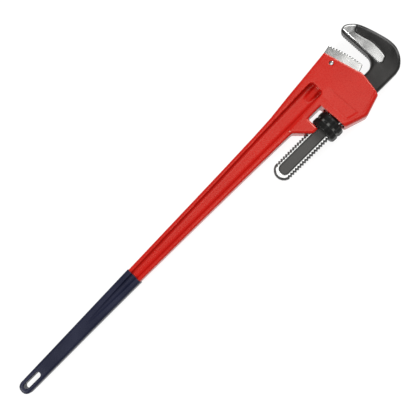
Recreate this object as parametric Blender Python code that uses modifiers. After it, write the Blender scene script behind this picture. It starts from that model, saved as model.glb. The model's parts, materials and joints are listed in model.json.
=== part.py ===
# Straight pipe wrench, 48 inch class, lying on its side.
# Design frame: the origin is where the adjusting nut bears on the housing, on the axis of the
# threaded shank. X runs along the shank towards the jaws, Y towards the heel jaw, Z is the
# thickness, and every piece is symmetric about Z = 0. All sizes are in metres.

import math

import bmesh
import bpy
from mathutils import Matrix, Vector

# Handle casting
HANDLE_REACH = 0.8965  # nut bearing to the butt end of the casting
GRIP_LENGTH = 0.3475  # stretch of the handle under the dipped grip
NECK_X = -0.150  # where the beam starts to widen into the head
BUTT_CENTRE_Y = 0.0602
BUTT_DEPTH = 0.0268
GRIP_END_CENTRE_Y = 0.0663
GRIP_END_DEPTH = 0.0363
NECK_CENTRE_Y = 0.0708
NECK_DEPTH = 0.0528
WINDOW_TOP_Y = 0.0405  # roof of the nut window
WINDOW_CORNER = 0.0080  # depth of the slope from the roof into the housing's side
HEAD_TOP_Y = 0.1060  # top edge of the beam over the back of the window
HEAD_SWELL_X = -0.0085  # from here on the beam is as thick as the housing
HOUSING_BACK_X = HEAD_SWELL_X + 0.0010  # clear of that bend in the beam's sides
HEAD_JOIN_X = 0.0040  # the beam ends here, inside the housing
HEAD_JOIN_TOP_Y = 0.1097
HEAD_JOIN_SINK = 0.0003  # its sides lie this much below the housing's
BUTT_THICKNESS = 0.027
GRIP_END_THICKNESS = 0.031
NECK_THICKNESS = 0.036
WINDOW_THICKNESS = 0.045
BEAM_EDGE_ROUND = 0.0035
BUTT_CORNER = 0.0115
WEB_THICKNESS = 0.017
UPPER_FLANGE = 0.0090
LOWER_FLANGE = 0.0130
RECESS_FILLET = 0.0045
RECESS_END_X = 0.0215
RECESS_END_TOP_Y = 0.0925
RECESS_CORNER = 0.0100
GRIP_FLANGE_SHARE = 0.7  # the lower flange narrows to this share where the beam is slim
RECESS_FADE = 0.150  # the web recess runs out over this length under the grip

# Housing around the jaw shank
HOUSING_THICKNESS = 0.055
HOUSING_REACH = 0.1095  # nut bearing to the most forward point of the housing
HEEL_TOP_X = 0.0848
HEEL_TOP_Y = 0.1178
HEEL_FOOT_Y = 0.0357  # lower end of the slanted heel face
HEEL_FOOT_SETBACK = 0.0026  # that end behind the most forward point
HEEL_LIP_DROP = 0.0075  # from there down to the most forward point
BRIDGE_FRONT_SETBACK = 0.0085  # front end of the bridge behind the most forward point
BRIDGE_PEAK_FLAT = 0.0040
BRIDGE_WALL = 0.0045  # wall beside the shank at both ends of the bridge
BRIDGE_PEAK = 0.0155  # further depth of the bridge at its point
BRIDGE_PEAK_X = 0.0515
BRIDGE_CHAMFER = 0.0078
HOUSING_EDGE_ROUND = 0.0030
BEARING_LEAN = 0.061  # the nut bearing wall leans back by this much per metre of height

# Guide lug behind the nut window
LUG_LENGTH = 0.0130  # length of its foot
LUG_SLOPE_RUN = 0.0340
LUG_FOOT_Y = 0.0100
LUG_THICKNESS = 0.0450
LUG_EDGE_ROUND = 0.0045
LUG_ROOT = 0.0120  # how far it reaches up into the beam

# Grip and hang slot
GRIP_WALL = 0.0015
HANG_SLOT_LENGTH = 0.0476
HANG_SLOT_WIDTH = 0.0124
HANG_SLOT_MARGIN = 0.0104  # butt end of the grip to the slot

# Hook jaw
SHANK_WIDTH = 0.0476
SHANK_THICKNESS = 0.0280
THREAD_DIAMETER = 0.0456
THREAD_PITCH = 0.00715
THREAD_DEPTH = 0.0030
THREAD_START = 0.0200  # forward end of the thread
FLAT_SINK = 0.0014  # the milled flats lie this much below the forged sides
PANEL_WIDTH = 0.0250
PANEL_DEPTH = 0.0030
PANEL_MARGIN = 0.0118  # tail end to the round end of the panel
HOOK_REACH = 0.2063
HOOK_NOSE_Y = 0.1313
HOOK_TEETH_TOP = (0.1449, 0.1220)
HOOK_TEETH_FOOT = (0.1477, 0.0478)
HOOK_TEETH = 15
HOOK_TOOTH_DEPTH = 0.0024
HOOK_CHAMFER = 0.0060
TOOTH_BAND = 0.0070  # width of the toothed strip beside the web
HOOK_WEB_THICKNESS = 0.0230

# Heel jaw
HEEL_JAW_THICKNESS = 0.0310
HEEL_JAW_FOOT_STAND = 0.0206  # how far its lower end stands off the heel face
HEEL_JAW_BULGE = 0.0026
HEEL_TEETH = 12
HEEL_TOOTH_DEPTH = 0.0026
TONGUE_THICKNESS = 0.0160
TONGUE_DEPTH = 0.0220
TONGUE_INSET = 0.0110  # from each end of the heel face
PIN_DIAMETER = 0.0092
PIN_SETBACK = 0.0133  # pin axis to the heel face
PIN_HEIGHT = 0.0599  # pin axis above the foot of the heel face, along the face
PIN_SINK = 0.0004

# Adjusting nut
NUT_DIAMETER = 0.0637
NUT_LENGTH = 0.0360
NUT_END_ROUND = 0.0060
NUT_WAIST_WIDTH = 0.0060
NUT_WAIST_DEPTH = 0.0016
NUT_SCALLOPS = 12
NUT_SCALLOP_DEPTH = 0.0011

# Springs
LEAF_THICKNESS = 0.0016
LEAF_WIDTH = 0.0140
LEAF_LENGTH = 0.0840
LEAF_LIFT = 0.0022  # height of its turned-up ends
COIL_X = 0.0520
COIL_DIAMETER = 0.0150  # outside
COIL_WIRE = 0.0022
COIL_LENGTH = 0.0210
COIL_TURNS = 5
STUD_HEAD = 0.0018
STUD_SHANK_DIAMETER = 0.0060
STUD_LENGTH = 0.0100

# Movement and clearances
ROCK_CLOSE = math.radians(2.0)
ROCK_OPEN = math.radians(0.5)
JAW_CLOSE = 0.0180  # travel of the hook jaw from here until the jaws nearly meet
JAW_OPEN = 0.1146  # travel of the hook jaw from here to fully open
TAIL_SPARE = 0.0236  # thread left behind the nut when fully open
NUT_ROOM = 0.0020  # from the nut to the plain shank when closed
NUT_PLAY = 0.0018
GAP = 0.0003  # between pieces that touch
POCKET_GAP = 0.0012  # around the coil spring
SLIDE_GAP = 0.0006  # beside the flats of the shank
THREAD_GAP = 0.0005
WELD = 0.00002
STRAIGHT = 0.00001  # a bend shallower than this counts as straight
OVERRUN = 0.004  # how far a cutter runs past a face

TURN_STEPS = 32
THREAD_STEPS = 18
FACET_TURN = math.radians(3.1)  # keeps the facets of a threaded cylinder off those of its thread
TOOTH_LAND = 0.12  # a notch starts, bottoms and ends at these shares of the tooth spacing
TOOTH_BOTTOM = 0.56
TOOTH_END = 0.94

# Fits that follow from the sizes above
HALF_SHANK = SHANK_WIDTH / 2
THREAD_R = THREAD_DIAMETER / 2
NUT_FRONT = -BEARING_LEAN * NUT_DIAMETER / 2 - NUT_PLAY
NUT_BACK = NUT_FRONT - NUT_LENGTH
WINDOW_BACK = NUT_BACK - NUT_PLAY
SHANK_TAIL = JAW_OPEN + TAIL_SPARE - NUT_BACK  # back from the origin to the end of the shank
BODY_X = NUT_FRONT + JAW_CLOSE + NUT_ROOM  # back end of the plain shank
CHANNEL_LOW = -HALF_SHANK - GAP - HOUSING_REACH * math.sin(ROCK_OPEN)
LEAF_Y = HALF_SHANK + GAP
ROCK_ROOM = (HOUSING_REACH + LEAF_THICKNESS) * math.sin(ROCK_CLOSE)
CHANNEL_HIGH = LEAF_Y + LEAF_THICKNESS + LEAF_LIFT + ROCK_ROOM + GAP
HALF_CHANNEL_Z = SHANK_THICKNESS / 2 + SLIDE_GAP
BRIDGE_Y = CHANNEL_LOW - BRIDGE_WALL
GRIP_GROW = GAP + GRIP_WALL
BUTT_X = -HANDLE_REACH
GRIP_END_X = BUTT_X + GRIP_LENGTH
HEEL_FOOT_X = HOUSING_REACH - HEEL_FOOT_SETBACK
PIN_R = PIN_DIAMETER / 2

LOW_CORNER = Vector((BUTT_X - GRIP_GROW, BRIDGE_Y - BRIDGE_PEAK))
HIGH_CORNER = Vector((HOOK_REACH, HOOK_NOSE_Y))


def clear_scene():
    for found in list(bpy.data.objects):
        bpy.data.objects.remove(found, do_unlink=True)


def new_collection(name):
    collection = bpy.data.collections.new(name)
    bpy.context.scene.collection.children.link(collection)
    return collection


clear_scene()
wrench = new_collection("pipe_wrench")
cutters = new_collection("cutters")

design = bpy.data.objects.new("design_frame", None)
middle = (LOW_CORNER + HIGH_CORNER) / 2
design.location = (-middle.x, -middle.y, NUT_DIAMETER / 2)
wrench.objects.link(design)
rock_pivot = bpy.data.objects.new("rock_pivot", None)
rock_pivot.parent = design
wrench.objects.link(rock_pivot)


# ---------- outlines ----------


def arc(centre, radius, start, end, steps):
    """Points on a circle from one angle to another, in degrees."""
    found = []
    for i in range(steps + 1):
        angle = math.radians(start + (end - start) * i / steps)
        found.append((centre[0] + radius * math.cos(angle), centre[1] + radius * math.sin(angle)))
    return found


def smooth(knots, steps):
    """A Catmull-Rom curve through the knots, with this many steps between each two."""
    knots = [Vector(k) for k in knots]
    ends = [2 * knots[0] - knots[1]] + knots + [2 * knots[-1] - knots[-2]]
    found = []
    for a, b, c, d in zip(ends, ends[1:], ends[2:], ends[3:]):
        for i in range(steps):
            t = i / steps
            found.append(
                0.5 * (2 * b + (c - a) * t + (2 * a - 5 * b + 4 * c - d) * t**2
                       + (3 * b - a - 3 * c + d) * t**3)
            )
    return [tuple(p) for p in found] + [tuple(knots[-1])]


def grown(outline, distance):
    """The closed outline moved outwards by a distance. It runs anticlockwise."""
    points = [Vector(p) for p in outline]
    found = []
    for before, here, after in zip(points[-1:] + points[:-1], points, points[1:] + points[:1]):
        first = (here - before).normalized()
        second = (after - here).normalized()
        mitre = Vector((first.y + second.y, -first.x - second.x)).normalized()
        side = Vector((first.y, -first.x))
        found.append(tuple(here + mitre * distance / mitre.dot(side)))
    return found


def corners(outline):
    """The closed outline without the points that lie on a straight run."""
    points = [Vector(p) for p in outline]
    found = []
    for i, here in enumerate(points):
        before = found[-1] if found else points[-1]
        after = points[(i + 1) % len(points)]
        run = (after - before).normalized()
        if abs((here - before).cross(run)) > STRAIGHT:
            found.append(here)
    return found


def along(stations, x, column):
    """Value of a column of the stations at x, on a smooth curve."""
    curve = smooth([(s[0], s[column]) for s in stations], 12)
    for a, b in zip(curve, curve[1:]):
        if a[0] <= x <= b[0]:
            return a[1] + (b[1] - a[1]) * (x - a[0]) / (b[0] - a[0])
    return curve[0][1] if x < curve[0][0] else curve[-1][1]


def toothed(curve, teeth, depth):
    """A line of teeth cut into a curve, given as a function of 0 to 1. The notches are on its left."""
    found = []
    for i in range(teeth):
        start = Vector(curve(i / teeth))
        end = Vector(curve((i + 1) / teeth))
        run = end - start
        inward = Vector((-run.y, run.x)).normalized() * depth
        found += [tuple(start + run * TOOTH_LAND), tuple(start + run * TOOTH_BOTTOM + inward)]
        found.append(tuple(start + run * TOOTH_END))
    return found


# ---------- building blocks ----------


def place(piece, parent=design, collection=wrench):
    piece.parent = parent
    for old in list(piece.users_collection):
        old.objects.unlink(piece)
    collection.objects.link(piece)
    return piece


def shift(x, y, z):
    return Matrix.Translation((x, y, z))


def as_cutter(piece):
    place(piece, design, cutters)
    piece.hide_render = True
    piece.display_type = "WIRE"
    return piece


def to_mesh(source, name):
    """A mesh object made from a curve or from an object's modifiers, with its caps welded."""
    bpy.context.scene.collection.objects.link(source)
    graph = bpy.context.evaluated_depsgraph_get()
    mesh = bpy.data.meshes.new_from_object(source.evaluated_get(graph))
    solid = bpy.data.objects.new(name, mesh)
    solid.matrix_world = source.matrix_world
    bpy.data.objects.remove(source, do_unlink=True)
    work = bmesh.new()
    work.from_mesh(mesh)
    bmesh.ops.remove_doubles(work, verts=work.verts, dist=WELD)
    open_edges = [e for e in work.edges if e.is_boundary]
    if open_edges:
        bmesh.ops.holes_fill(work, edges=open_edges)
    bmesh.ops.recalc_face_normals(work, faces=work.faces)
    work.to_mesh(mesh)
    work.free()
    return solid


def plate(name, outline, half, rounds=(), bent=False):
    """A flat outline as thick as twice half. Each round is (radius, segments, rule): edges of
    the two faces whose midpoint passes the rule are rounded. A plate to be bent keeps its faces whole."""
    curve = bpy.data.curves.new(name, "CURVE")
    curve.dimensions = "2D"
    curve.fill_mode = "BOTH"
    curve.extrude = half
    spline = curve.splines.new("POLY")
    points = corners(outline)
    spline.points.add(len(points) - 1)
    for point, (x, y) in zip(spline.points, points):
        point.co = (x, y, 0, 1)
    spline.use_cyclic_u = True
    solid = to_mesh(bpy.data.objects.new(name + "_outline", curve), name)
    work = bmesh.new()
    work.from_mesh(solid.data)
    inner = [e for e in work.edges if all(abs(f.normal.z) > 0.999 for f in e.link_faces)]
    bmesh.ops.dissolve_edges(work, edges=inner, use_verts=False)
    for radius, segments, rule in rounds:
        chosen = [
            e for e in work.edges
            if abs(abs(e.verts[0].co.z) - half) < WELD
            and abs(e.verts[0].co.z - e.verts[1].co.z) < WELD
            and rule(*((e.verts[0].co + e.verts[1].co) / 2)[:2])
        ]
        bmesh.ops.bevel(
            work, geom=chosen, offset=radius, segments=segments, profile=0.5,
            affect="EDGES", clamp_overlap=False,
        )
    work.to_mesh(solid.data)
    work.free()
    return solid if bent else triangulate(solid)


def triangulate(solid):
    """Splits every face, so that a face bent by moving its corners has one meaning."""
    work = bmesh.new()
    work.from_mesh(solid.data)
    bmesh.ops.triangulate(work, faces=work.faces)
    work.to_mesh(solid.data)
    work.free()
    return solid


def slice_at(solid, stations):
    """Adds edges across the solid at each x, so that its sides can follow a curve there."""
    work = bmesh.new()
    work.from_mesh(solid.data)
    for x in stations:
        every = work.verts[:] + work.edges[:] + work.faces[:]
        bmesh.ops.bisect_plane(work, geom=every, dist=WELD, plane_co=(x, 0, 0), plane_no=(1, 0, 0))
    work.to_mesh(solid.data)
    work.free()


def turned(name, profile, axis, steps=TURN_STEPS):
    """A profile of (along, radius) points turned about an axis. Both ends are on the axis."""
    mesh = bpy.data.meshes.new(name)
    points = []
    for distance, radius in profile:
        spots = {"X": (distance, radius, 0), "Y": (radius, distance, 0), "Z": (radius, 0, distance)}
        points.append(spots[axis])
    mesh.from_pydata(points, [(i, i + 1) for i in range(len(points) - 1)], [])
    source = bpy.data.objects.new(name + "_profile", mesh)
    screw = source.modifiers.new("turn", "SCREW")
    screw.axis = axis
    screw.steps = screw.render_steps = steps
    screw.use_merge_vertices = True
    screw.merge_threshold = WELD
    return to_mesh(source, name)


def helix_groove(name, section, start, turns):
    """A closed (along, radius) section wound along X, one thread pitch a turn."""
    mesh = bpy.data.meshes.new(name)
    count = len(section)
    mesh.from_pydata(
        [(start + x, r, 0) for x, r in section], [(i, (i + 1) % count) for i in range(count)], []
    )
    source = bpy.data.objects.new(name + "_profile", mesh)
    screw = source.modifiers.new("wind", "SCREW")
    screw.axis = "X"
    screw.screw_offset = THREAD_PITCH
    screw.iterations = turns
    screw.steps = screw.render_steps = THREAD_STEPS
    return to_mesh(source, name)


def block(name, low, high):
    """A box between two corners."""
    mesh = bpy.data.meshes.new(name)
    work = bmesh.new()
    bmesh.ops.create_cube(work, size=1)
    centre = (Vector(low) + Vector(high)) / 2
    size = Vector(high) - Vector(low)
    for vertex in work.verts:
        vertex.co = centre + Vector(a * b for a, b in zip(vertex.co, size))
    work.to_mesh(mesh)
    work.free()
    return bpy.data.objects.new(name, mesh)


def combine(piece, tool, operation):
    as_cutter(tool)
    boolean = piece.modifiers.new(tool.name, "BOOLEAN")
    boolean.operation = operation
    boolean.solver = "EXACT"
    boolean.object = tool
    return piece


def cut(piece, tool):
    return combine(piece, tool, "DIFFERENCE")


def join(piece, tool):
    return combine(piece, tool, "UNION")


def paint(piece, name, colour, roughness, metallic):
    material = bpy.data.materials.new(name)
    material.use_nodes = True
    shader = material.node_tree.nodes["Principled BSDF"]
    shader.inputs["Base Color"].default_value = (*colour, 1)
    shader.inputs["Roughness"].default_value = roughness
    shader.inputs["Metallic"].default_value = metallic
    piece.data.materials.append(material)
    piece.data.shade_smooth()
    piece.data.set_sharp_from_angle(angle=math.radians(32))


# ---------- handle beam, used by the casting and by the grip around it ----------



def head_station(x, thickness):
    share = (x - WINDOW_BACK) / (HEAD_JOIN_X - WINDOW_BACK)
    top = HEAD_TOP_Y + (HEAD_JOIN_TOP_Y - HEAD_TOP_Y) * share
    return (x, (WINDOW_TOP_Y + top) / 2, top - WINDOW_TOP_Y, thickness)


# x, centre height, depth, thickness
BEAM = (
    (BUTT_X, BUTT_CENTRE_Y, BUTT_DEPTH, BUTT_THICKNESS),
    (GRIP_END_X, GRIP_END_CENTRE_Y, GRIP_END_DEPTH, GRIP_END_THICKNESS),
    (NECK_X, NECK_CENTRE_Y, NECK_DEPTH, NECK_THICKNESS),
    head_station(WINDOW_BACK, WINDOW_THICKNESS),
    head_station(HEAD_SWELL_X, HOUSING_THICKNESS - 2 * HEAD_JOIN_SINK),
    head_station(HEAD_JOIN_X, HOUSING_THICKNESS - 2 * HEAD_JOIN_SINK),
)


def beam_top(x):
    return along(BEAM, x, 1) + along(BEAM, x, 2) / 2


def beam_bottom(x):
    return along(BEAM, x, 1) - along(BEAM, x, 2) / 2


def spaced(first, last, count):
    return [first + (last - first) * i / count for i in range(count + 1)]


def beam_stations(head_x):
    stations = spaced(BUTT_X + BUTT_CORNER, GRIP_END_X, 4) + spaced(GRIP_END_X, NECK_X, 4)[1:]
    stations += [(NECK_X + WINDOW_BACK) / 2, WINDOW_BACK, HEAD_SWELL_X]
    return [x for x in stations if x < head_x] + [head_x]


def beam_outline(head_x):
    corner = BUTT_CORNER
    low = beam_bottom(BUTT_X)
    high = beam_top(BUTT_X)
    stations = beam_stations(head_x)
    outline = arc((BUTT_X + corner, low + corner), corner, 180, 270, 4)[:-1]
    outline += [(x, beam_bottom(x)) for x in stations]
    outline += [(x, beam_top(x)) for x in reversed(stations)]
    outline += arc((BUTT_X + corner, high - corner), corner, 90, 180, 4)[1:]
    return outline


def beam(name, grow, head_x):
    """The handle's solid section up to head_x, made larger all round by grow."""
    outline = grown(beam_outline(head_x), grow)
    edge = BEAM_EDGE_ROUND + grow
    solid = plate(name, outline, BUTT_THICKNESS / 2 + grow, [(edge, 2, lambda x, y: x < head_x)], True)
    slice_at(solid, beam_stations(head_x)[:-1])
    butt = BUTT_THICKNESS / 2
    for vertex in solid.data.vertices:
        swell = along(BEAM, vertex.co.x, 3) / 2 - butt
        vertex.co.z += math.copysign(swell, vertex.co.z)
    return triangulate(solid)


def recess(name, side, shrink):
    """Cutter for the hollow between the flanges on one side, made smaller all round by shrink."""
    fade_x = GRIP_END_X - RECESS_FADE
    lines = spaced(fade_x, GRIP_END_X, 3) + spaced(GRIP_END_X, NECK_X, 4)[1:]
    lines += [WINDOW_BACK]
    low = NECK_CENTRE_Y - NECK_DEPTH / 2 + LOWER_FLANGE
    neck_top = beam_top(NECK_X) - UPPER_FLANGE

    def floor_y(x):
        return max(low, beam_bottom(x) + LOWER_FLANGE * GRIP_FLANGE_SHARE)

    def roof_y(x):
        if x < NECK_X:
            return beam_top(x) - UPPER_FLANGE
        return neck_top + (RECESS_END_TOP_Y - neck_top) * (x - NECK_X) / (RECESS_END_X - NECK_X)

    round_r = RECESS_CORNER
    end = RECESS_END_X - round_r
    outline = [(x, floor_y(x)) for x in lines]
    outline += arc((end, floor_y(end) + round_r), round_r, 270, 360, 4)
    outline += arc((end, roof_y(end) - round_r), round_r, 0, 90, 4)
    outline += [(x, roof_y(x)) for x in reversed(lines)]
    depth = HOUSING_THICKNESS
    fillet = RECESS_FILLET
    solid = plate(name, grown(outline, -shrink), depth / 2, [(fillet, 2, lambda x, y: True)], True)
    slice_at(solid, spaced(fade_x, GRIP_END_X, 3)[1:])
    web = WEB_THICKNESS / 2 + shrink
    for vertex in solid.data.vertices:
        height = vertex.co.z + depth / 2 + web
        if vertex.co.x < GRIP_END_X:
            fade = (GRIP_END_X - vertex.co.x) / RECESS_FADE
            height += (along(BEAM, vertex.co.x, 3) / 2 - WEB_THICKNESS / 2) * fade
        vertex.co.z = height * side
    if side < 0:
        solid.data.flip_normals()
    return triangulate(solid)


def hang_slot(name, grow):
    """Cutter for the slot at the butt, with round ends."""
    radius = HANG_SLOT_WIDTH / 2
    first = BUTT_X - GRIP_GROW + HANG_SLOT_MARGIN + radius
    last = first + HANG_SLOT_LENGTH - 2 * radius
    y = along(BEAM, (first + last) / 2, 1)
    outline = arc((last, y), radius + grow, -90, 90, 8) + arc((first, y), radius + grow, 90, 270, 8)
    return plate(name, outline, GRIP_END_THICKNESS)


# ---------- housing ----------


def bearing_x(y):
    return -BEARING_LEAN * y


def heel_point(height, stand):
    """A point by the slanted heel face: height along it from its foot, stand out from it."""
    foot = Vector((HEEL_FOOT_X, HEEL_FOOT_Y))
    up = (Vector((HEEL_TOP_X, HEEL_TOP_Y)) - foot).normalized()
    return tuple(foot + up * height + Vector((up.y, -up.x)) * stand)


HEEL_FACE = (Vector((HEEL_TOP_X, HEEL_TOP_Y)) - Vector((HEEL_FOOT_X, HEEL_FOOT_Y))).length


def housing_outline():
    reach = HOUSING_REACH
    low_end = reach - BRIDGE_FRONT_SETBACK
    flat = BRIDGE_PEAK_FLAT / 2
    return [
        (bearing_x(BRIDGE_Y), BRIDGE_Y),
        (BRIDGE_PEAK_X - flat, BRIDGE_Y - BRIDGE_PEAK),
        (BRIDGE_PEAK_X + flat, BRIDGE_Y - BRIDGE_PEAK),
        (low_end - 0.002, BRIDGE_Y - 0.0006),
        (low_end, BRIDGE_Y + 0.0018),
        (reach - 0.0033, 0),
        (reach - 0.0004, 0.0195),
        (reach, HEEL_FOOT_Y - HEEL_LIP_DROP),
        (reach - 0.0008, HEEL_FOOT_Y - HEEL_LIP_DROP * 0.4),
        (HEEL_FOOT_X, HEEL_FOOT_Y),
        (HEEL_TOP_X, HEEL_TOP_Y),
        (HEEL_TOP_X - 0.005, HEEL_TOP_Y - 0.0004),
        (HOUSING_BACK_X, beam_top(HOUSING_BACK_X) - HEAD_JOIN_SINK),
        (HOUSING_BACK_X, WINDOW_TOP_Y + WINDOW_CORNER),
        (bearing_x(WINDOW_TOP_Y), WINDOW_TOP_Y),
    ]


def lug_outline():
    front = WINDOW_BACK
    foot = LUG_FOOT_Y
    return [
        (front - LUG_LENGTH - LUG_SLOPE_RUN, beam_bottom(front - LUG_LENGTH - LUG_SLOPE_RUN)),
        (front - LUG_LENGTH - 0.004, foot + 0.0025),
        (front - LUG_LENGTH, foot),
        (front, foot),
        (front, WINDOW_TOP_Y + LUG_ROOT),
        (front - LUG_LENGTH - LUG_SLOPE_RUN, WINDOW_TOP_Y + LUG_ROOT),
    ]


def spring_pocket():
    radius = COIL_DIAMETER / 2 + POCKET_GAP
    low = CHANNEL_HIGH - OVERRUN
    high = LEAF_Y + LEAF_THICKNESS + GAP + COIL_LENGTH + GAP
    profile = [(high, 0), (high, radius), (low, radius), (low, 0)]
    solid = turned("spring_pocket_cutter", profile, "Y", 20)
    solid.data.transform(shift(COIL_X, 0, 0))
    return solid


def build_handle():
    handle = beam("handle", 0, HEAD_JOIN_X)
    chamfer = [
        (BRIDGE_CHAMFER, 3, lambda x, y: y < BRIDGE_Y + 0.001 and x > 0),
        (HOUSING_EDGE_ROUND, 2, lambda x, y: y > BRIDGE_Y + 0.001 and x > 0.020),
    ]
    join(handle, plate("housing_block", housing_outline(), HOUSING_THICKNESS / 2, chamfer))
    lug_round = [(LUG_EDGE_ROUND, 2, lambda x, y: y < WINDOW_TOP_Y - 0.002)]
    join(handle, plate("guide_lug", lug_outline(), LUG_THICKNESS / 2, lug_round))
    half = HALF_CHANNEL_Z
    channel = block(
        "shank_channel",
        (bearing_x(0) - OVERRUN * 2, CHANNEL_LOW, -half),
        (HOUSING_REACH + OVERRUN, CHANNEL_HIGH, half),
    )
    cut(handle, channel)
    tail = WINDOW_BACK - LUG_LENGTH - LUG_SLOPE_RUN
    lift = -tail * math.sin(ROCK_OPEN)
    lug_slot = block(
        "lug_slot",
        (tail - OVERRUN, LUG_FOOT_Y - OVERRUN, -half),
        (WINDOW_BACK + OVERRUN, THREAD_R + lift + SLIDE_GAP, half),
    )
    cut(handle, lug_slot)
    cut(handle, recess("recess_front", 1, 0))
    cut(handle, recess("recess_back", -1, 0))
    slot = [heel_point(TONGUE_INSET - GAP, -TONGUE_DEPTH - GAP), heel_point(TONGUE_INSET - GAP, OVERRUN)]
    slot += [heel_point(HEEL_FACE - TONGUE_INSET + GAP, OVERRUN)]
    slot += [heel_point(HEEL_FACE - TONGUE_INSET + GAP, -TONGUE_DEPTH - GAP)]
    cut(handle, plate("tongue_slot", slot, TONGUE_THICKNESS / 2 + GAP))
    cut(handle, pin_cylinder("pin_hole", PIN_R + GAP, HOUSING_THICKNESS / 2 + OVERRUN))
    cut(handle, spring_pocket())
    cut(handle, hang_slot("core_hang_slot", GRIP_GROW))
    paint(place(handle), "red enamel casting", (0.55, 0.035, 0.025), 0.4, 0.0)


def pin_cylinder(name, radius, half):
    x, y = heel_point(PIN_HEIGHT, -PIN_SETBACK)
    profile = [(half, 0), (half, radius), (-half, radius), (-half, 0)]
    solid = turned(name, profile, "Z", 20)
    solid.data.transform(shift(x, y, 0))
    return solid


def build_grip():
    sleeve = beam("grip_sleeve", GRIP_GROW, GRIP_END_X)
    cut(sleeve, recess("grip_recess_front", 1, GRIP_GROW))
    cut(sleeve, recess("grip_recess_back", -1, GRIP_GROW))
    core = beam("grip_core", GAP, GRIP_END_X + OVERRUN)
    cut(core, recess("core_recess_front", 1, GAP))
    cut(core, recess("core_recess_back", -1, GAP))
    cut(core, hang_slot("core_slot", GRIP_WALL))
    cut(sleeve, core)
    cut(sleeve, hang_slot("grip_slot", 0))
    paint(place(sleeve), "navy dipped vinyl", (0.02, 0.022, 0.045), 0.5, 0.0)


# ---------- hook jaw ----------


def hook_outline():
    foot = Vector(HOOK_TEETH_FOOT)
    top = Vector(HOOK_TEETH_TOP)
    throat = foot.y - HALF_SHANK
    reach = HOOK_REACH
    low = -HALF_SHANK
    nose = HOOK_NOSE_Y
    outline = [(BODY_X, low), (reach - 0.050, low)]
    outline += smooth(
        [
            (reach - 0.042, low),
            (reach - 0.0275, low + 0.0042),
            (reach - 0.0117, low + 0.0182),
            (reach - 0.0021, low + 0.0365),
            (reach, low + 0.0510),
            (reach - 0.0020, low + 0.0713),
            (reach - 0.0130, nose - 0.0430),
            (reach - 0.0232, nose - 0.0188),
            (reach - 0.0360, nose - 0.0050),
            (reach - 0.0445, nose),
        ],
        3,
    )
    outline += [(top.x + 0.0110, nose), (top.x + 0.0062, nose - 0.0012)]
    outline += [(top.x + 0.0024, top.y + 0.0038)]
    outline += toothed(lambda t: top.lerp(foot, t), HOOK_TEETH, HOOK_TOOTH_DEPTH)
    outline += arc((foot.x - throat, foot.y), throat, 0, -90, 10)
    outline += [(BODY_X, HALF_SHANK)]
    return outline


def web_outline():
    """The polished hollow between the toothed strip and the outer rib, open at the nose."""
    left = HOOK_TEETH_FOOT[0] + TOOTH_BAND - 0.002
    reach = HOOK_REACH
    high = HOOK_NOSE_Y + OVERRUN
    rib = smooth(
        [
            (left + 0.0075, 0.0138),
            (reach - 0.0375, 0.0175),
            (reach - 0.0313, 0.0225),
            (reach - 0.0285, 0.0574),
            (reach - 0.0345, 0.0823),
            (reach - 0.0392, 0.1035),
        ],
        3,
    )
    return [
        (left - 0.0005, 0.0215),
        (left + 0.0020, 0.0160),
        *rib,
        (reach - 0.0350, 0.1082),
        (reach - 0.0190, 0.1112),
        (reach - 0.0100, high),
        (left - 0.0020, high),
    ]


def build_hook_jaw():
    radius = THREAD_R
    tail = -SHANK_TAIL
    half = SHANK_THICKNESS / 2
    profile = [(THREAD_START, 0), (THREAD_START, radius)]
    profile += [(x, r) for x, r in arc((tail + radius, 0), radius, 90, 180, 5)]
    jaw = turned("hook_jaw", profile, "X", TURN_STEPS)
    jaw.data.transform(Matrix.Rotation(FACET_TURN, 4, "X"))
    flat = half - FLAT_SINK
    flats = block("shank_flats", (tail - OVERRUN, -radius * 2, -flat), (THREAD_START * 2, radius * 2, flat))
    combine(jaw, flats, "INTERSECT")
    top = 0.375 * THREAD_PITCH
    root = 0.125 * THREAD_PITCH
    slope = (top - root) / THREAD_DEPTH
    out = 0.0008
    section = [
        (-top - slope * out, radius + out),
        (-root, radius - THREAD_DEPTH),
        (root, radius - THREAD_DEPTH),
        (top + slope * out, radius + out),
    ]
    start = tail + radius * 0.7
    turns = math.ceil((THREAD_START - start) / THREAD_PITCH)
    cut(jaw, helix_groove("thread_groove", section, thread_phase(start), turns))

    tooth_line = HOOK_TEETH_FOOT[0] + HOOK_TOOTH_DEPTH

    def outer_edge(x, y):
        beside_teeth = x < tooth_line and HOOK_TEETH_FOOT[1] < y < HOOK_TEETH_TOP[1]
        return x > BODY_X + WELD and not beside_teeth

    body = plate("hook_body", hook_outline(), half, [(HOOK_CHAMFER, 2, outer_edge)])
    for side in (1, -1):
        web = plate("hook_web_" + ("front" if side > 0 else "back"), web_outline(), half)
        web.data.transform(shift(0, 0, side * (half + HOOK_WEB_THICKNESS / 2)))
        cut(body, web)
    join(jaw, body)
    end = tail + PANEL_MARGIN + PANEL_WIDTH / 2
    panel = arc((end, 0), PANEL_WIDTH / 2, 90, 270, 8)
    panel += [(NUT_FRONT, -PANEL_WIDTH / 2), (NUT_FRONT, PANEL_WIDTH / 2)]
    for side in (1, -1):
        tool = plate("panel_" + ("front" if side > 0 else "back"), panel, half)
        tool.data.transform(shift(0, 0, side * (2 * half - PANEL_DEPTH)))
        cut(jaw, tool)
    paint(place(jaw, rock_pivot), "blackened forging", (0.02, 0.02, 0.02), 0.45, 0.6)


def thread_phase(start):
    """The first groove centre at or after start. Grooves lie at whole pitches from the nut's front."""
    return NUT_FRONT + math.ceil((start - NUT_FRONT) / THREAD_PITCH) * THREAD_PITCH


# ---------- adjusting nut ----------


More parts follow.
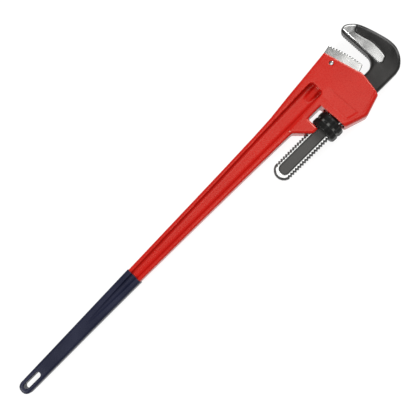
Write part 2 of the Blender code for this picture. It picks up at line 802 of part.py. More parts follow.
def build_nut():
    outer = NUT_DIAMETER / 2
    bore = THREAD_R - THREAD_DEPTH + THREAD_GAP
    lip = NUT_END_ROUND
    centre = (NUT_FRONT + NUT_BACK) / 2
    waist = NUT_WAIST_WIDTH / 2
    profile = [(NUT_FRONT, 0), *arc((NUT_FRONT - lip, outer - lip), lip, 0, 90, 3)]
    profile += [(centre + waist, outer), (centre + waist / 2, outer - NUT_WAIST_DEPTH)]
    profile += [(centre - waist / 2, outer - NUT_WAIST_DEPTH), (centre - waist, outer)]
    profile += [*arc((NUT_BACK + lip, outer - lip), lip, 90, 180, 3), (NUT_BACK, 0)]
    nut = turned("adjusting_nut", profile, "X", NUT_SCALLOPS * 4)
    for vertex in nut.data.vertices:
        radius = math.hypot(vertex.co.y, vertex.co.z)
        if radius > outer - lip:
            angle = math.atan2(vertex.co.y, vertex.co.z)
            dip = NUT_SCALLOP_DEPTH * (1 - math.cos(NUT_SCALLOPS * angle)) / 2
            share = min(1, (radius - outer + lip) / lip)
            vertex.co.y *= 1 - dip * share / radius
            vertex.co.z *= 1 - dip * share / radius
    ends = [(NUT_FRONT + OVERRUN, 0), (NUT_FRONT + OVERRUN, bore)]
    ends += [(NUT_BACK - OVERRUN, bore), (NUT_BACK - OVERRUN, 0)]
    hole = turned("nut_bore", ends, "X")
    hole.data.transform(Matrix.Rotation(FACET_TURN, 4, "X"))
    cut(nut, hole)
    gap = THREAD_GAP
    crest = 0.125 * THREAD_PITCH + gap
    foot = 0.375 * THREAD_PITCH + gap
    slope = (foot - crest) / THREAD_DEPTH
    section = [
        (-foot - slope * gap, THREAD_R - THREAD_DEPTH - gap),
        (foot + slope * gap, THREAD_R - THREAD_DEPTH - gap),
        (crest, THREAD_R + gap),
        (-crest, THREAD_R + gap),
    ]
    start = thread_phase(NUT_BACK - 2 * THREAD_PITCH) + THREAD_PITCH / 2
    turns = math.ceil(NUT_LENGTH / THREAD_PITCH) + 3
    cut(nut, helix_groove("nut_thread", section, start, turns))
    paint(place(nut, rock_pivot), "black oxide nut", (0.018, 0.018, 0.018), 0.4, 0.7)


# ---------- heel jaw and pin ----------


def heel_jaw_outline():
    stand_foot = HEEL_JAW_FOOT_STAND
    low = Vector(heel_point(0.0058, stand_foot))
    high = Vector(heel_point(HEEL_FACE - 0.0008, stand_foot))
    out = Vector((high.y - low.y, low.x - high.x)).normalized()

    def face(t):
        return low.lerp(high, t) + out * HEEL_JAW_BULGE * math.sin(math.pi * t)

    outline = [heel_point(-0.0004, GAP), heel_point(-0.0014, GAP + 0.004)]
    outline += [heel_point(-0.0002, stand_foot - 0.004), heel_point(0.0022, stand_foot - 0.0008)]
    outline += toothed(face, HEEL_TEETH, HEEL_TOOTH_DEPTH)
    outline += [tuple(high), heel_point(HEEL_FACE + 0.0008, GAP)]
    return outline


def build_heel_jaw():
    jaw = plate("heel_jaw", heel_jaw_outline(), HEEL_JAW_THICKNESS / 2)
    tongue = [
        heel_point(TONGUE_INSET, -TONGUE_DEPTH),
        heel_point(TONGUE_INSET, OVERRUN),
        heel_point(HEEL_FACE - TONGUE_INSET, OVERRUN),
        heel_point(HEEL_FACE - TONGUE_INSET, -TONGUE_DEPTH),
    ]
    join(jaw, plate("heel_tongue", tongue, TONGUE_THICKNESS / 2))
    cut(jaw, pin_cylinder("tongue_pin_hole", PIN_R + GAP, HEEL_JAW_THICKNESS))
    paint(place(jaw), "ground tool steel", (0.55, 0.55, 0.55), 0.3, 1.0)
    half = HOUSING_THICKNESS / 2 - PIN_SINK
    paint(place(pin_cylinder("heel_jaw_pin", PIN_R, half)), "bright steel pin", (0.6, 0.6, 0.6), 0.3, 1.0)


# ---------- springs ----------


def build_springs():
    y = LEAF_Y
    half = LEAF_LENGTH / 2
    lift = LEAF_LIFT
    upper = y + LEAF_THICKNESS
    first = COIL_X - half
    last = COIL_X + half
    bend = 0.008
    lower_side = [(first, y + lift), (first + bend, y), (last - bend, y), (last, y + lift)]
    upper_side = [(last, upper + lift), (last - bend, upper), (first + bend, upper), (first, upper + lift)]
    leaf = plate("leaf_spring", lower_side + upper_side, LEAF_WIDTH / 2)
    stud_r = STUD_SHANK_DIAMETER / 2
    paint(place(leaf, rock_pivot), "spring steel strip", (0.25, 0.26, 0.28), 0.35, 1.0)

    head = upper + GAP
    head_r = COIL_DIAMETER / 2 - COIL_WIRE - GAP
    profile = [(head + STUD_LENGTH, 0), (head + STUD_LENGTH, stud_r - 0.0006)]
    profile += [(head + STUD_LENGTH - 0.0006, stud_r), (head + STUD_HEAD, stud_r)]
    profile += [(head + STUD_HEAD, head_r), (head, head_r), (head, 0)]
    stud = turned("spring_stud", profile, "Y", 20)
    stud.data.transform(shift(COIL_X, 0, 0))
    paint(place(stud, rock_pivot), "plain steel stud", (0.35, 0.35, 0.36), 0.4, 1.0)

    wire = COIL_WIRE / 2
    mean = COIL_DIAMETER / 2 - wire
    bottom = head + wire
    rise = COIL_LENGTH - COIL_WIRE
    curve = bpy.data.curves.new("coil_spring", "CURVE")
    curve.dimensions = "3D"
    curve.bevel_depth = wire
    curve.bevel_resolution = 2
    curve.use_fill_caps = True
    spline = curve.splines.new("POLY")
    points = COIL_TURNS * 12
    spline.points.add(points)
    for i, point in enumerate(spline.points):
        angle = 2 * math.pi * COIL_TURNS * i / points
        point.co = (COIL_X + mean * math.cos(angle), bottom + rise * i / points, mean * math.sin(angle), 1)
    coil = to_mesh(bpy.data.objects.new("coil_route", curve), "coil_spring")
    paint(place(coil), "spring wire", (0.3, 0.3, 0.32), 0.35, 1.0)


build_handle()
build_grip()
build_hook_jaw()
build_nut()
build_heel_jaw()
build_springs()
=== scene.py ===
# Pipe wrench, 48 inch pattern, lying on its side.
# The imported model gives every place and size. This script adds the cast, forged and ground surfaces.
import json
import math

import bmesh
import bpy
import numpy as np
from mathutils import Matrix, Vector, noise


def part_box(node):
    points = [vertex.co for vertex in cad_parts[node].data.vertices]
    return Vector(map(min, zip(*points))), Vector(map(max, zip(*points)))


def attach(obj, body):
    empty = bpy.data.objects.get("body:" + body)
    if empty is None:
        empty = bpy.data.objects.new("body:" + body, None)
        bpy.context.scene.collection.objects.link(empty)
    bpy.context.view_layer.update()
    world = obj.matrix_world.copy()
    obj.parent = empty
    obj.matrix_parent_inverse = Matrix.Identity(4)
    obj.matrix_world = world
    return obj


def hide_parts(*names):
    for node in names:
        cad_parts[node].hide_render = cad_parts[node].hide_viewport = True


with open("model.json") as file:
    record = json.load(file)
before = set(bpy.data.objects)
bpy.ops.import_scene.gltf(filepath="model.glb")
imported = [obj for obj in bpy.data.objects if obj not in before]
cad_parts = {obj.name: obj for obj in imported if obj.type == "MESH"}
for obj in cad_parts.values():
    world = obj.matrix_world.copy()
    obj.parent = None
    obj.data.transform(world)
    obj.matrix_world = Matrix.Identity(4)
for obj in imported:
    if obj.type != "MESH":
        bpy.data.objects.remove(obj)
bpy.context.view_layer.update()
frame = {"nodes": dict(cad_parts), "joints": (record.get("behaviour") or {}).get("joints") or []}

scene = bpy.context.scene

# The nut turns about the shank's axis, and this is where it bears on the housing.
# Shapes below are given from here: x along the shank towards the jaws, y towards the heel jaw.
axisPoint = Vector(next(j["pos_m"] for j in frame["joints"] if j["name"] == "nut_spin"))
mm = 0.001


def srgb(code, alpha=1.0):
    # a hex colour as the linear values that the shader works in
    parts = [int(code[i:i + 2], 16) / 255 for i in (1, 3, 5)]
    linear = [p / 12.92 if p <= 0.04045 else ((p + 0.055) / 1.055) ** 2.4 for p in parts]
    return (*linear, alpha)


def step(low, high, values):
    # 0 at low, 1 at high and smooth between; low may be the larger of the two
    t = np.clip((values - low) / (high - low), 0, 1)
    return t * t * (3 - 2 * t)


def addNode(tree, kind, settings=None, **inputs):
    # one node with its settings, and its inputs as values or as (node, output) links
    node = tree.nodes.new("ShaderNode" + kind)
    for key, value in (settings or {}).items():
        if key == "stops":
            ramp = node.color_ramp
            while len(ramp.elements) < len(value):
                ramp.elements.new(0.5)
            for element, (place, colour) in zip(ramp.elements, value):
                element.position = place
                element.color = colour
        else:
            setattr(node, key, value)
    for key, value in inputs.items():
        # i6 means the seventh socket, for nodes whose sockets share a name
        byNumber = key[0] == "i" and key[1:].isdigit()
        socket = node.inputs[int(key[1:]) if byNumber else key.replace("_", " ")]
        if isinstance(value, tuple) and isinstance(value[0], bpy.types.Node):
            tree.links.new(value[0].outputs[value[1]], socket)
        else:
            socket.default_value = value
    return node


def newMaterial(name, roughness, metallic=0.0, coat=0.0, coatRoughness=0.03):
    material = bpy.data.materials.new(name)
    material.use_nodes = True
    tree = material.node_tree
    shader = tree.nodes["Principled BSDF"]
    shader.inputs["Roughness"].default_value = roughness
    shader.inputs["Metallic"].default_value = metallic
    shader.inputs["Coat Weight"].default_value = coat
    shader.inputs["Coat Roughness"].default_value = coatRoughness
    place = addNode(tree, "TexCoord")
    return material, tree, shader, (place, "Object")


def grey(value):
    return (value, value, value, 1)


def newPiece(name, mesh):
    piece = bpy.data.objects.new(name, mesh)
    scene.collection.objects.link(piece)
    return piece


def copyOf(node, name):
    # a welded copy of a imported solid, in its place
    mesh = frame["nodes"][node].data.copy()
    mesh.materials.clear()
    work = bmesh.new()
    work.from_mesh(mesh)
    bmesh.ops.remove_doubles(work, verts=work.verts, dist=0.00001)
    work.to_mesh(mesh)
    work.free()
    return newPiece(name, mesh)


def applied(piece):
    # the piece with its modifiers made part of its mesh
    graph = bpy.context.evaluated_depsgraph_get()
    mesh = bpy.data.meshes.new_from_object(piece.evaluated_get(graph))
    piece.modifiers.clear()
    old = piece.data
    piece.data = mesh
    bpy.data.meshes.remove(old)
    return piece


def eased(piece, voxel, passes):
    # the solid as an even fine mesh whose edges are worn round
    remesh = piece.modifiers.new("remesh", "REMESH")
    remesh.mode = "VOXEL"
    remesh.voxel_size = voxel
    remesh.use_smooth_shade = True
    smooth = piece.modifiers.new("smooth", "SMOOTH")
    smooth.factor = 0.5
    smooth.iterations = passes
    return applied(piece)


def points(piece):
    co = np.empty(len(piece.data.vertices) * 3, np.float32)
    piece.data.vertices.foreach_get("co", co)
    return co.reshape(-1, 3).astype(float) - np.array(axisPoint)


def setPoints(piece, co):
    piece.data.vertices.foreach_set("co", (co + np.array(axisPoint)).astype(np.float32).ravel())
    piece.data.update()


def normals(piece):
    no = np.empty(len(piece.data.vertices) * 3, np.float32)
    piece.data.vertices.foreach_get("normal", no)
    return no.reshape(-1, 3).astype(float)


def edgesOf(piece):
    pairs = np.empty(len(piece.data.edges) * 2, np.int32)
    piece.data.edges.foreach_get("vertices", pairs)
    return pairs.reshape(-1, 2)


def spread(values, pairs, passes):
    # each value averaged with those of its neighbours
    count = np.bincount(pairs.ravel(), minlength=len(values)) + 1
    for _ in range(passes):
        total = values + np.bincount(pairs[:, 0], values[pairs[:, 1]], len(values))
        total += np.bincount(pairs[:, 1], values[pairs[:, 0]], len(values))
        values = total / count
    return values


def setAttribute(piece, name, values):
    attribute = piece.data.attributes.new(name, "FLOAT", "POINT")
    attribute.data.foreach_set("value", np.asarray(values, np.float32))


def markEdges(piece, reach, passes=2):
    # "crease" is 1 in a corner and "rim" is 1 on an edge, for a bend as tight as reach
    co, no, pairs = points(piece), normals(piece), edgesOf(piece)
    way = co[pairs[:, 1]] - co[pairs[:, 0]]
    length = np.einsum("ij,ij->i", way, way) + 1e-12
    first = np.einsum("ij,ij->i", way, no[pairs[:, 0]]) / length
    second = -np.einsum("ij,ij->i", way, no[pairs[:, 1]]) / length
    count = np.bincount(pairs.ravel(), minlength=len(co)) + 1e-9
    bend = (np.bincount(pairs[:, 0], first, len(co)) + np.bincount(pairs[:, 1], second, len(co))) / count
    bend = spread(bend, pairs, passes) * reach
    setAttribute(piece, "crease", np.clip(bend, 0, 1))
    setAttribute(piece, "rim", np.clip(-bend, 0, 1))


def wavy(co, scale, height, seed):
    # slow uneven height of a surface that was cast or ground by hand
    offset = Vector((seed * 7.3, seed * 3.1, seed * 5.7))
    return np.array([noise.noise(Vector(p) / scale + offset) for p in co]) * height


def fitted(piece, node, body):
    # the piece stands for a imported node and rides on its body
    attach(piece, body)
    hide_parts(node)
    return piece


view = {
    "centre": Vector((-330.3, 52.5, 0)) * mm,  # from the nut's bearing point
    "distance": 1950 * mm,
    "tilt": 6.0,  # degrees towards the bridge side
    "width": 915.6 * mm,  # seen across the frame at the middle of the tool
}


def setCamera():
    camera = bpy.data.objects.new("camera", bpy.data.cameras.new("camera"))
    scene.collection.objects.link(camera)
    tilt = math.radians(view["tilt"])
    back = Vector((0, -math.sin(tilt), math.cos(tilt)))
    right = Vector((1, -1, 0)).normalized()
    right = (right - back * right.dot(back)).normalized()
    up = back.cross(right)
    camera.matrix_world = Matrix((right, up, back)).transposed().to_4x4()
    camera.location = axisPoint + view["centre"] + back * view["distance"]
    camera.data.sensor_width = 36
    camera.data.lens = 36 * view["distance"] / view["width"]
    camera.data.clip_end = 20
    scene.camera = camera


studio = {
    "floor": "#757573",
    "floorGlow": 0.90,  # lifts the paper to a clean white under the soft shadows
    "dome": 0.20,
    # the box over the head lies where its polished faces mirror it; the keys stand beyond both ends
    # of the tool, so that the flanges throw no shadow on the web
    "lights": {
        "headBox": {"place": (0.44, -0.10, 2.6), "aim": (0.44, -0.10, 0), "size": (1.5, 0.86), "power": 8.2},
        "keyAtButt": {"place": (-2.2, 0.3, 1.7), "aim": (-0.1, 0, 0), "size": (1.4, 1.4), "power": 54},
        "keyAtJaws": {"place": (2.4, 0.3, 1.7), "aim": (0.1, 0, 0), "size": (1.4, 1.4), "power": 62},
    },
}


def setStudio():
    mesh = bpy.data.meshes.new("floor")
    work = bmesh.new()
    bmesh.ops.create_grid(work, x_segments=1, y_segments=1, size=6)
    work.to_mesh(mesh)
    work.free()
    floor = newPiece("floor", mesh)
    floor.location.z = -0.0005
    material, tree, shader, place = newMaterial("white seamless paper, matt", 0.95)
    shader.inputs["Base Color"].default_value = srgb(studio["floor"])
    shader.inputs["Specular IOR Level"].default_value = 0.0
    shader.inputs["Emission Color"].default_value = grey(1)
    shader.inputs["Emission Strength"].default_value = studio["floorGlow"]
    mesh.materials.append(material)
    for name, made in studio["lights"].items():
        light = bpy.data.lights.new(name, "AREA")
        light.shape = "RECTANGLE"
        light.size, light.size_y = made["size"]
        light.energy = made["power"]
        lamp = bpy.data.objects.new(name, light)
        lamp.location = made["place"]
        lamp.rotation_euler = (Vector(made["aim"]) - lamp.location).to_track_quat("-Z", "Y").to_euler()
        scene.collection.objects.link(lamp)
    world = bpy.data.worlds.new("studio")
    world.use_nodes = True
    world.node_tree.nodes["Background"].inputs["Color"].default_value = grey(1)
    world.node_tree.nodes["Background"].inputs["Strength"].default_value = studio["dome"]
    scene.world = world
    scene.view_settings.view_transform = "Standard"


casting = {
    "voxel": 1.6 * mm,
    "easing": 5,  # passes, which leave fillets of about 3 mm
    "unevenness": 0.16 * mm,  # of the sand-cast faces, over about 45 mm
    "fieldDepth": 0.9 * mm,  # shallow field on each side of the housing
    "grooveDepth": 0.6 * mm,  # beside the bridge chamfer
    "grooveWidth": 1.1 * mm,
    "grooveRoute": [(14, -24.2), (48, -35.4), (99, -21.0)],  # x and y, mm
    # x and height above the mid plane, then half widths, all in mm
    "ramp": {"rise": [(-14, 9.2), (-4, 12), (8, 16), (26, 21)], "middle": 73.5, "top": 5.0, "foot": 12.0},
    "colour": "#C4160F",
    "thick": "#BE140E",  # where the spray lay a little heavier
    "paintedCornerShade": "#8E0906",  # painted shade: the corners are coloured darker
    # painted highlight on the rims
    "paintedRimHighlight": "#D63A2C",
    "grain": 2.4 * mm,  # casting grain under the paint; 0.8 mm on the real one, drawn coarser to show
    "orangePeel": 3.0 * mm,
}


def lineDistance(co, route):
    # distance from each point to a run of straight lines, seen from above
    nearest = np.full(len(co), 1e9)
    for a, b in zip(route, route[1:]):
        a, b = np.array(a) * mm, np.array(b) * mm
        along = np.clip(((co[:, :2] - a) @ (b - a)) / ((b - a) @ (b - a)), 0, 1)
        gap = co[:, :2] - a - along[:, None] * (b - a)
        nearest = np.minimum(nearest, np.hypot(gap[:, 0], gap[:, 1]))
    return nearest


def buildCasting():
    piece = copyOf("handle", "castHandle")
    webRamp(piece)
    eased(piece, casting["voxel"], casting["easing"])
    co = points(piece)
    side = np.sign(co[:, 2])
    face = step(22 * mm, 26 * mm, abs(co[:, 2]))
    x, y = co[:, 0] / mm, co[:, 1] / mm
    # shallow field, crisp towards the jaws and the bridge, and soft towards the nut
    field = step(38.6, 36.9, x - (48 - y) * 0.05) * step(8.0, 15.0, x - abs(y - 42) * 0.03)
    field *= step(-18.9, -17.2, y + (x - 13) * 0.26) * step(62, 36, y)
    groove = np.exp(-(lineDistance(co, casting["grooveRoute"]) / casting["grooveWidth"]) ** 2)
    co[:, 2] -= side * face * (field * casting["fieldDepth"] + groove * casting["grooveDepth"])
    co[:, 2] += side * wavy(co, 0.045, casting["unevenness"], 1)
    setPoints(piece, co)
    markEdges(piece, 0.004)
    piece.data.materials.append(enamelOnCastIron())
    return fitted(piece, "handle", "handle")


def webRamp(piece):
    # the middle of the web climbs to the housing between two hollows
    work = bmesh.new()
    work.from_mesh(piece.data)
    ramp = casting["ramp"]
    for side in (1, -1):
        rings = []
        for x, height in ramp["rise"]:
            spots = [(-ramp["foot"], 4), (-ramp["top"], height), (ramp["top"], height), (ramp["foot"], 4)]
            ring = [Vector((x, ramp["middle"] + y, z * side)) * mm + axisPoint for y, z in spots]
            rings.append([work.verts.new(spot) for spot in ring])
        faces = [work.faces.new(rings[0]), work.faces.new(rings[-1][::-1])]
        for first, second in zip(rings, rings[1:]):
            faces += [work.faces.new((first[i - 1], second[i - 1], second[i], first[i])) for i in range(4)]
        bmesh.ops.recalc_face_normals(work, faces=faces)
    work.to_mesh(piece.data)
    work.free()


def enamelOnCastIron():
    # gloss enamel sprayed on a shot-blasted casting: a wet skin over a soft grain, with painted shade
    # darkening the corners and a painted highlight lightening the rims
    material, tree, shader, place = newMaterial("gloss enamel on shot-blasted casting", 0.32)
    crease = addNode(tree, "Attribute", {"attribute_name": "crease"})
    rim = addNode(tree, "Attribute", {"attribute_name": "rim"})
    # the binder warms the reflections a little
    shader.inputs["Specular Tint"].default_value = srgb("#FFF2DC")
    cloud = addNode(tree, "TexNoise", Vector=place, Scale=9.0, Detail=3.0)
    tones = [(0.35, srgb(casting["thick"])), (0.65, srgb(casting["colour"]))]
    shade = addNode(tree, "ValToRGB", {"stops": tones}, Fac=(cloud, "Fac"))
    # painted shade: the crease mask turns the enamel darker in the corners
    withPaintedCornerShade = addNode(tree, "Mix", {"data_type": "RGBA"},
                       i0=(crease, "Fac"), i6=(shade, "Color"), i7=srgb(casting["paintedCornerShade"]))
    # painted highlight: the rim mask turns the enamel lighter on the edges
    onRim = addNode(tree, "Math", {"operation": "MULTIPLY"}, i0=(rim, "Fac"), i1=0.35)
    colour = addNode(tree, "Mix", {"data_type": "RGBA"},
                     i0=(onRim, "Value"), i6=(withPaintedCornerShade, "Result"), i7=srgb(casting["paintedRimHighlight"]))
    tree.links.new(colour.outputs["Result"], shader.inputs["Base Color"])
    grain = addNode(tree, "TexNoise", Vector=place, Scale=1 / casting["grain"], Detail=2.0, Roughness=0.6)
    peel = addNode(tree, "TexNoise", Vector=place, Scale=1 / casting["orangePeel"], Detail=0.0)
    bump = addNode(tree, "Bump", Strength=0.22, Distance=0.0003, Height=(grain, "Fac"))
    bump = addNode(tree, "Bump", Strength=0.18, Distance=0.0004,
                   Height=(peel, "Fac"), Normal=(bump, "Normal"))
    tree.links.new(bump.outputs["Normal"], shader.inputs["Normal"])
    rough = addNode(tree, "MapRange", Value=(grain, "Fac"),
                    From_Min=0.3, From_Max=0.7, To_Min=0.24, To_Max=0.32)
    tree.links.new(rough.outputs["Result"], shader.inputs["Roughness"])
    return material


grip = {
    "voxel": 0.9 * mm,
    "easing": 4,
    "colour": "#171A30",
    "scuffed": "#20233A",
    "paintedCreaseShade": "#10121E",
    "grain": 1.6 * mm,  # fine leathery skin; 0.5 mm on the real one, drawn coarser to show
}


def buildGrip():
    piece = eased(copyOf("grip_sleeve", "dippedGrip"), grip["voxel"], grip["easing"])
    co = points(piece)
    no = normals(piece)
    setPoints(piece, co + no * wavy(co, 0.03, 0.12 * mm, 2)[:, None])
    markEdges(piece, 0.003)
    piece.data.materials.append(dippedVinyl())
    return fitted(piece, "grip_sleeve", "handle")


def dippedVinyl():
    # PVC plastisol, dipped and oven cured: a soft satin skin, coloured darker in the creases as painted
    # shade
    material, tree, shader, place = newMaterial("PVC plastisol, dipped and cured", 0.40)
    shader.inputs["Specular IOR Level"].default_value = 0.28
    crease = addNode(tree, "Attribute", {"attribute_name": "crease"})
    cloud = addNode(tree, "TexNoise", Vector=place, Scale=14.0, Detail=4.0)
    tones = [(0.35, srgb(grip["colour"])), (0.7, srgb(grip["scuffed"]))]
    shade = addNode(tree, "ValToRGB", {"stops": tones}, Fac=(cloud, "Fac"))
    # painted shade: the crease mask turns the vinyl darker in the creases
    colour = addNode(tree, "Mix", {"data_type": "RGBA"},
                     i0=(crease, "Fac"), i6=(shade, "Color"), i7=srgb(grip["paintedCreaseShade"]))
    tree.links.new(colour.outputs["Result"], shader.inputs["Base Color"])
    grain = addNode(tree, "TexNoise", Vector=place, Scale=1 / grip["grain"], Detail=2.0)
    bump = addNode(tree, "Bump", Strength=0.3, Distance=0.0002, Height=(grain, "Fac"))
    tree.links.new(bump.outputs["Normal"], shader.inputs["Normal"])
    rough = addNode(tree, "MapRange", Value=(cloud, "Fac"),
                    From_Min=0.3, From_Max=0.7, To_Min=0.35, To_Max=0.45)
    tree.links.new(rough.outputs["Result"], shader.inputs["Roughness"])
    return material


hook = {
    "voxel": 1.0 * mm,
    "easing": 2,
    "strip": (13.0, 19.6),  # milled strip beside the thread, from the shank's centre line, mm
    "stripEnd": -153.6,  # centre of the round tail end
    "webHeight": (11.0 * mm, 11.9 * mm),  # the polished hollow lies at 11.5 mm
    "webStart": 150 * mm,
    "webStep": 0.30 * mm,  # the hollow is ground in two passes with a soft step between them
    "crown": 1.5 * mm,
    "panel": 11.2,  # half width of the rubbed panel between the strips, mm
    "scale": "#181817",
    "scaleWorn": "#272625",
    # rubbed panel between the strips, and painted sheen in the middle of the body
    "rubbed": "#4E4D4B",
    "steel": "#DEDEDC",
}


def buildHook():
    piece = eased(copyOf("hook_jaw", "forgedHookJaw"), hook["voxel"], hook["easing"])
    co, no = points(piece), normals(piece)
    x, y = co[:, 0] / mm, co[:, 1] / mm
    height = abs(co[:, 2])
    flat = step(0.80, 0.95, abs(no[:, 2]))
    out = np.where(x > hook["stripEnd"], abs(y), np.hypot(x - hook["stripEnd"], y))
    low, high = hook["strip"]
    strips = step(low - 0.8, low, out) * step(high + 0.9, high, out) * (x < 12) * (height > 12.0 * mm)
    low, high = hook["webHeight"]
    web = (height > low) * (height < high) * (co[:, 0] > hook["webStart"])
    # the belt stops short of the web's rim
    web = step(0.72, 0.97, spread(flat * web, edgesOf(piece), 3))
    setAttribute(piece, "ground", np.maximum(spread(flat * strips, edgesOf(piece), 1), web))
    panel = step(hook["panel"] + 0.4, hook["panel"] - 0.8, out) * flat * (x < -3)
    # painted sheen: the middle of the body is coloured a little lighter
    body = step(24, 18, abs(y)) * flat * step(20, 60, x) * step(190, 150, x)
    setAttribute(piece, "rubbed", spread(np.clip(panel + 0.35 * body, 0, 1), edgesOf(piece), 2))
    inside = (height < 12.6 * mm) * (co[:, 0] > hook["webStart"]) * flat
    uneven = wavy(co, 0.035, 0.10 * mm, 4) * (x > 12)
    uneven += (np.tanh((y - 93) / 9) - 1.1 * np.tanh((y - 64) / 13)) * hook["webStep"] * inside
    # the outer rib is crowned by the forging die
    out = np.hypot(x - 150, y - 55)
    crown = np.clip((out - 27) / 28, 0, 1) ** 2 * step(-8, 24, y) * (x > 150) * flat
    uneven -= spread(crown, edgesOf(piece), 4) * hook["crown"]
    co[:, 2] += np.sign(co[:, 2]) * uneven
    setPoints(piece, co)
    markEdges(piece, 0.002)
    piece.data.materials.append(forgedSteel("drop-forged steel, blackened, with ground flats", hook, 0.32))
    return fitted(piece, "hook_jaw", "jaw")


def forgedSteel(name, tones, roughness):
    # oil-blackened forging scale, satin and slightly mottled, with bright belt-ground faces
    # where "ground" is 1
    material, tree, shader, place = newMaterial(name, roughness)
    ground = addNode(tree, "Attribute", {"attribute_name": "ground"})
    crease = addNode(tree, "Attribute", {"attribute_name": "crease"})
    rim = addNode(tree, "Attribute", {"attribute_name": "rim"})
    cloud = addNode(tree, "TexNoise", Vector=place, Scale=60.0, Detail=5.0, Roughness=0.6)
    shades = [(0.35, srgb(tones["scale"])), (0.7, srgb(tones["scaleWorn"]))]
    scale = addNode(tree, "ValToRGB", {"stops": shades}, Fac=(cloud, "Fac"))
    # rubbed bare steel, and painted sheen or highlight where the attribute is set for it
    bareAndSheen = addNode(tree, "Attribute", {"attribute_name": "rubbed"})
    dark = addNode(tree, "Mix", {"data_type": "RGBA"},
                   i0=(bareAndSheen, "Fac"), i6=(scale, "Color"), i7=srgb(tones["rubbed"]))
    # painted shade: the crease mask turns the corners near black
    dark = addNode(tree, "Mix", {"data_type": "RGBA"},
                   i0=(crease, "Fac"), i6=(dark, "Result"), i7=srgb("#0A0A0A"))
    onRim = addNode(tree, "Math", {"operation": "MULTIPLY"}, i0=(rim, "Fac"), i1=0.12)
    dark = addNode(tree, "Mix", {"data_type": "RGBA"},
                   i0=(onRim, "Value"), i6=(dark, "Result"), i7=srgb("#5A5A58"))
    colour = addNode(tree, "Mix", {"data_type": "RGBA"},
                     i0=(ground, "Fac"), i6=(dark, "Result"), i7=srgb(tones["steel"]))
    tree.links.new(colour.outputs["Result"], shader.inputs["Base Color"])
    tree.links.new(ground.outputs["Fac"], shader.inputs["Metallic"])
    mottle = addNode(tree, "TexNoise", Vector=place, Scale=70.0, Detail=3.0)
    # belt scratches: 0.15 mm apart on the real one, drawn 0.8 mm apart to show
    stretched = addNode(tree, "Mapping", Vector=place, Scale=(1.0, 0.08, 1.0))
    scratches = addNode(tree, "TexNoise", Vector=(stretched, "Vector"), Scale=1200.0, Detail=2.0)
    pits = addNode(tree, "TexNoise", Vector=place, Scale=420.0, Detail=3.0, Roughness=0.65)
    height = addNode(tree, "Mix", i0=(ground, "Fac"), i2=(pits, "Fac"), i3=(scratches, "Fac"))
    depth = addNode(tree, "MapRange", Value=(ground, "Fac"), To_Min=0.3, To_Max=0.03)
    bump = addNode(tree, "Bump", Strength=(depth, "Result"), Distance=0.0002, Height=(height, "Result"))
    tree.links.new(bump.outputs["Normal"], shader.inputs["Normal"])
    polish = addNode(tree, "MapRange", Value=(mottle, "Fac"),
                     From_Min=0.3, From_Max=0.7, To_Min=0.16, To_Max=0.23)
    rough = addNode(tree, "Mix", i0=(ground, "Fac"), i2=roughness, i3=(polish, "Result"))
    tree.links.new(rough.outputs["Result"], shader.inputs["Roughness"])
    # the oiled scale is porous and reflects less than bare steel
    gloss = addNode(tree, "MapRange", Value=(ground, "Fac"), To_Min=0.22, To_Max=0.5)
    tree.links.new(gloss.outputs["Result"], shader.inputs["Specular IOR Level"])
    return material


nut = {
    "voxel": 0.7 * mm,
    "easing": 2,
    "scale": "#131312",
    "scaleWorn": "#1F1F1E",
    # partly rubbed steel, partly painted highlight on the waist's lands
    "rubbed": "#8A8A87",
    "steel": "#C9C9C6",
}


def buildNut():
    piece = eased(copyOf("adjusting_nut", "knurledNut"), nut["voxel"], nut["easing"])
    co = points(piece)
    low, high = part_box("adjusting_nut")
    middle = (low.x + high.x) / 2 - axisPoint.x
    waist = step(3.2 * mm, 1.6 * mm, abs(co[:, 0] - middle)) * (np.hypot(co[:, 1], co[:, 2]) > 0.026)
    setAttribute(piece, "ground", np.zeros(len(co)))
    around = np.cos(np.arctan2(co[:, 1], co[:, 2]) * 12)
    # the lands at the waist are coloured light grey: partly rubbed steel, partly a painted highlight
    setAttribute(piece, "rubbed", waist * 0.55 * step(-0.2, 0.9, around))
    markEdges(piece, 0.002)
    piece.data.materials.append(forgedSteel("turned steel, black oxide", nut, 0.34))
    return fitted(piece, "adjusting_nut", "nut")


heel = {
    "voxel": 0.6 * mm,
    "easing": 2,
    "steel": "#D6D6D3",
    "dull": "#BDBDBB",
    "edge": "#3A3A39",  # painted shade: the teeth, corners and rims are coloured dark grey
}


def buildHeelJaw():
    piece = eased(copyOf("heel_jaw", "groundHeelJaw"), heel["voxel"], heel["easing"])
    co = points(piece)
    co[:, 2] += np.sign(co[:, 2]) * wavy(co, 0.03, 0.12 * mm, 5)
    setPoints(piece, co)
    markEdges(piece, 0.002, 5)
    piece.data.materials.append(groundSteel("tool steel, surface ground", (1.0, 0.06, 1.0), 0.16))
    return fitted(piece, "heel_jaw", "handle")


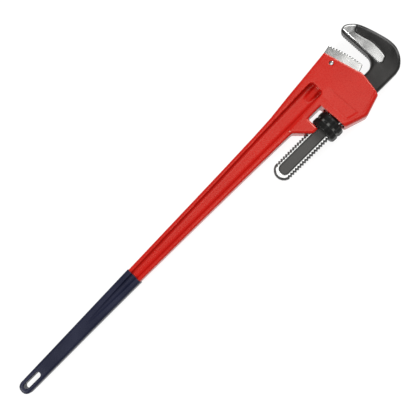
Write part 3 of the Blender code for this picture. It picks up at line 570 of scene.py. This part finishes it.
def groundSteel(name, stretch, roughness):
    # bright steel with fine parallel grinding lines that smear the reflections across them
    material, tree, shader, place = newMaterial(name, roughness, metallic=1.0)
    crease = addNode(tree, "Attribute", {"attribute_name": "crease"})
    cloud = addNode(tree, "TexNoise", Vector=place, Scale=35.0, Detail=3.0)
    tones = [(0.3, srgb(heel["dull"])), (0.7, srgb(heel["steel"]))]
    shade = addNode(tree, "ValToRGB", {"stops": tones}, Fac=(cloud, "Fac"))
    rim = addNode(tree, "Attribute", {"attribute_name": "rim"})
    # painted shade: corners and rims are coloured dark
    edge = addNode(tree, "Math", {"operation": "MAXIMUM"}, i0=(crease, "Fac"), i1=(rim, "Fac"))
    edge = addNode(tree, "MapRange", Value=(edge, "Value"), From_Min=0.12, From_Max=0.45)
    colour = addNode(tree, "Mix", {"data_type": "RGBA"},
                     i0=(edge, "Result"), i6=(shade, "Color"), i7=srgb(heel["edge"]))
    tree.links.new(colour.outputs["Result"], shader.inputs["Base Color"])
    # grinding lines: 0.1 mm apart on the real one, drawn 0.7 mm apart to show
    stretched = addNode(tree, "Mapping", Vector=place, Scale=stretch)
    lines = addNode(tree, "TexNoise", Vector=(stretched, "Vector"), Scale=1400.0, Detail=2.0)
    bump = addNode(tree, "Bump", Strength=0.04, Distance=0.00015, Height=(lines, "Fac"))
    tree.links.new(bump.outputs["Normal"], shader.inputs["Normal"])
    rough = addNode(tree, "MapRange", Value=(lines, "Fac"), From_Min=0.3, From_Max=0.7,
                    To_Min=roughness - 0.05, To_Max=roughness + 0.07)
    tree.links.new(rough.outputs["Result"], shader.inputs["Roughness"])
    return material


pin = {"voxel": 0.35 * mm, "easing": 3, "dome": 0.5 * mm}


def buildPin():
    piece = eased(copyOf("heel_jaw_pin", "heelJawPin"), pin["voxel"], pin["easing"])
    low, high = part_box("heel_jaw_pin")
    centre = (low + high) / 2 - axisPoint
    co = points(piece)
    out = np.hypot(co[:, 0] - centre.x, co[:, 1] - centre.y) / ((high.x - low.x) / 2)
    ends = step((high.z - low.z) / 2 - 0.001, (high.z - low.z) / 2 - 0.0003, abs(co[:, 2]))
    co[:, 2] += np.sign(co[:, 2]) * ends * (1 - out ** 2) * pin["dome"]
    setPoints(piece, co)
    markEdges(piece, 0.0015)
    piece.data.materials.append(groundSteel("silver steel pin, turned", (1.0, 1.0, 1.0), 0.2))
    return fitted(piece, "heel_jaw_pin", "handle")


springs = {
    "leafVoxel": 0.5 * mm,
    "studVoxel": 0.35 * mm,
    "easing": 2,
    "wire": 1.1 * mm,  # radius
    "turns": 5,
    "spotsPerTurn": 32,
    "blued": "#55565C",
    "browned": "#6E655C",
}


def oiledSpringSteel():
    # tempered spring steel: a thin blue-brown oxide under oil, glossy and dark
    material, tree, shader, place = newMaterial("spring steel, tempered and oiled", 0.3, metallic=1.0)
    cloud = addNode(tree, "TexNoise", Vector=place, Scale=80.0, Detail=3.0)
    tones = [(0.35, srgb(springs["blued"])), (0.65, srgb(springs["browned"]))]
    shade = addNode(tree, "ValToRGB", {"stops": tones}, Fac=(cloud, "Fac"))
    tree.links.new(shade.outputs["Color"], shader.inputs["Base Color"])
    grain = addNode(tree, "TexNoise", Vector=place, Scale=900.0)
    bump = addNode(tree, "Bump", Strength=0.2, Distance=0.0001, Height=(grain, "Fac"))
    tree.links.new(bump.outputs["Normal"], shader.inputs["Normal"])
    return material


def buildSprings():
    steel = oiledSpringSteel()
    leaf = eased(copyOf("leaf_spring", "leafSpring"), springs["leafVoxel"], springs["easing"])
    leaf.data.materials.append(steel)
    fitted(leaf, "leaf_spring", "spring_carrier")
    stud = eased(copyOf("spring_stud", "springStud"), springs["studVoxel"], springs["easing"])
    stud.data.materials.append(steel)
    fitted(stud, "spring_stud", "spring_carrier")
    low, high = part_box("coil_spring")
    middle = (low + high) / 2
    wire = springs["wire"]
    across = (high.x - low.x) / 2 - wire
    curve = bpy.data.curves.new("coilSpring", "CURVE")
    curve.dimensions = "3D"
    curve.bevel_depth = wire
    curve.bevel_resolution = 4
    curve.use_fill_caps = True
    spline = curve.splines.new("POLY")
    count = springs["turns"] * springs["spotsPerTurn"]
    spline.points.add(count)
    for i, point in enumerate(spline.points):
        turn = i / count
        angle = 2 * math.pi * springs["turns"] * turn
        rise = low.y + wire + (high.y - low.y - 2 * wire) * turn
        point.co = (middle.x + across * math.cos(angle), rise, middle.z + across * math.sin(angle), 1)
    coil = bpy.data.objects.new("coilSpring", curve)
    scene.collection.objects.link(coil)
    curve.materials.append(steel)
    fitted(coil, "coil_spring", "handle")


setCamera()
setStudio()
print("camera and studio set")
buildCasting()
print("casting enamelled")
buildGrip()
print("grip dipped")
buildHook()
buildNut()
print("hook jaw and nut forged")
buildHeelJaw()
buildPin()
print("heel jaw and pin ground")
buildSprings()
print("springs wound")
